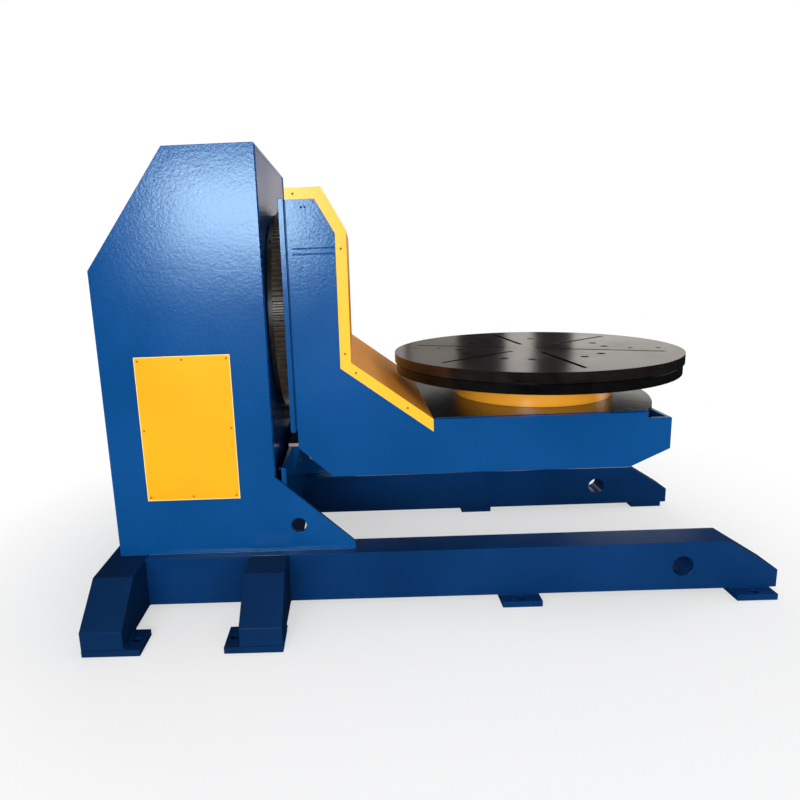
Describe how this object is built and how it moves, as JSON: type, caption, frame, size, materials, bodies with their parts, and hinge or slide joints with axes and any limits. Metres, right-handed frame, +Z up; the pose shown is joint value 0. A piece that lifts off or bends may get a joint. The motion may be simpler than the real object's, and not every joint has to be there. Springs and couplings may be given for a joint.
{
  "type": "welding positioner",
  "caption": "L-type welding positioner: headstock column with a tilting L-shaped arm and a geared rotary table on an outrigger frame.",
  "frame": {"origin": "on the floor under the middle of the machine's length and width", "axes": "+X from the column towards the rotary table, +Y to the side away from the access panel, +Z up"},
  "size_m": [3.25, 1.956, 2.188],
  "materials": {
    "blue": "gloss",
    "yellow": "gloss",
    "machined": "machined",
    "gear_steel": "greased",
    "fastener": "zinc",
    "drive": "satin",
    "gland": "matte"
  },
  "bodies": {
    "base": {"access_panel": "yellow", "access_panel_screws": "fastener", "apron_ledge": "blue", "apron_plate": "blue", "apron_ribs": "blue", "cable_gland": "gland", "column_base_plate": "blue", "column_far_side": "blue", "column_front_plate": "blue", "column_near_side": "blue", "column_rear_plate": "blue", "column_ring_bolts": "fastener", "column_slope_plate": "blue", "column_top_plate": "blue", "end_pads": "blue", "far_front_leg": "blue", "far_outrigger_beam": "blue", "front_cross_beam": "blue", "front_foot_plates": "blue", "middle_pads": "blue", "near_front_leg": "blue", "near_outrigger_beam": "blue", "rear_cross_leg": "blue", "rear_foot_plates": "blue", "tilt_bearing_inner_ring": "gear_steel", "tilt_motor": "drive", "tilt_reducer": "drive"},
    "arm": {"tilt_bearing_half_ring": "gear_steel", "tilt_gear_ring": "gear_steel", "arm_ring_bolts": "fastener", "arm_back_plate": "blue", "arm_rear_panel": "blue", "arm_near_side": "blue", "arm_far_side": "blue", "arm_front_web": "blue", "arm_heel_plate": "blue", "platform_bottom_plate": "blue", "platform_chamfer_plate": "blue", "platform_end_plate": "blue", "platform_rear_plate": "blue", "platform_top_plate": "blue", "platform_webs": "blue", "arm_cover": "yellow", "arm_cover_screws": "fastener", "table_bearing_inner_ring": "gear_steel", "platform_ring_bolts": "fastener", "table_guard_ring": "yellow", "table_reducer": "drive", "table_motor": "drive", "earth_brush_holder": "drive"},
    "table": {"table_plate": "machined", "table_backing_disc": "machined", "table_bolts": "fastener", "table_adapter_plate": "machined", "table_gear_ring": "gear_steel", "table_bearing_half_ring": "gear_steel"},
    "tilt_pinion": {"tilt_pinion": "gear_steel"},
    "table_pinion": {"table_pinion": "gear_steel"}
  },
  "joints": [
    {"name": "tilt", "type": "hinge", "parent": "base", "child": "arm", "pos_m": [-0.725, 0, 1.41], "axis": [1, 0, 0], "range_deg": [-180, 180]},
    {"name": "rotate", "type": "hinge", "parent": "arm", "child": "table", "pos_m": [0.59441, 0, 1], "axis": [0, 0, 1], "continuous": true},
    {"name": "tilt_pinion_turn", "type": "hinge", "parent": "base", "child": "tilt_pinion", "pos_m": [-0.725, 0, 0.838], "axis": [1, 0, 0], "range_deg": [-1800, 1800]},
    {"name": "table_pinion_turn", "type": "hinge", "parent": "arm", "child": "table_pinion", "pos_m": [0.35683, 0.23759, 1], "axis": [0, 0, 1], "continuous": true}
  ],
  "couplings": [
    {"joint": "tilt_pinion_turn", "follows": "tilt", "ratio": -10},
    {"joint": "table_pinion_turn", "follows": "rotate", "ratio": -5}
  ]
}
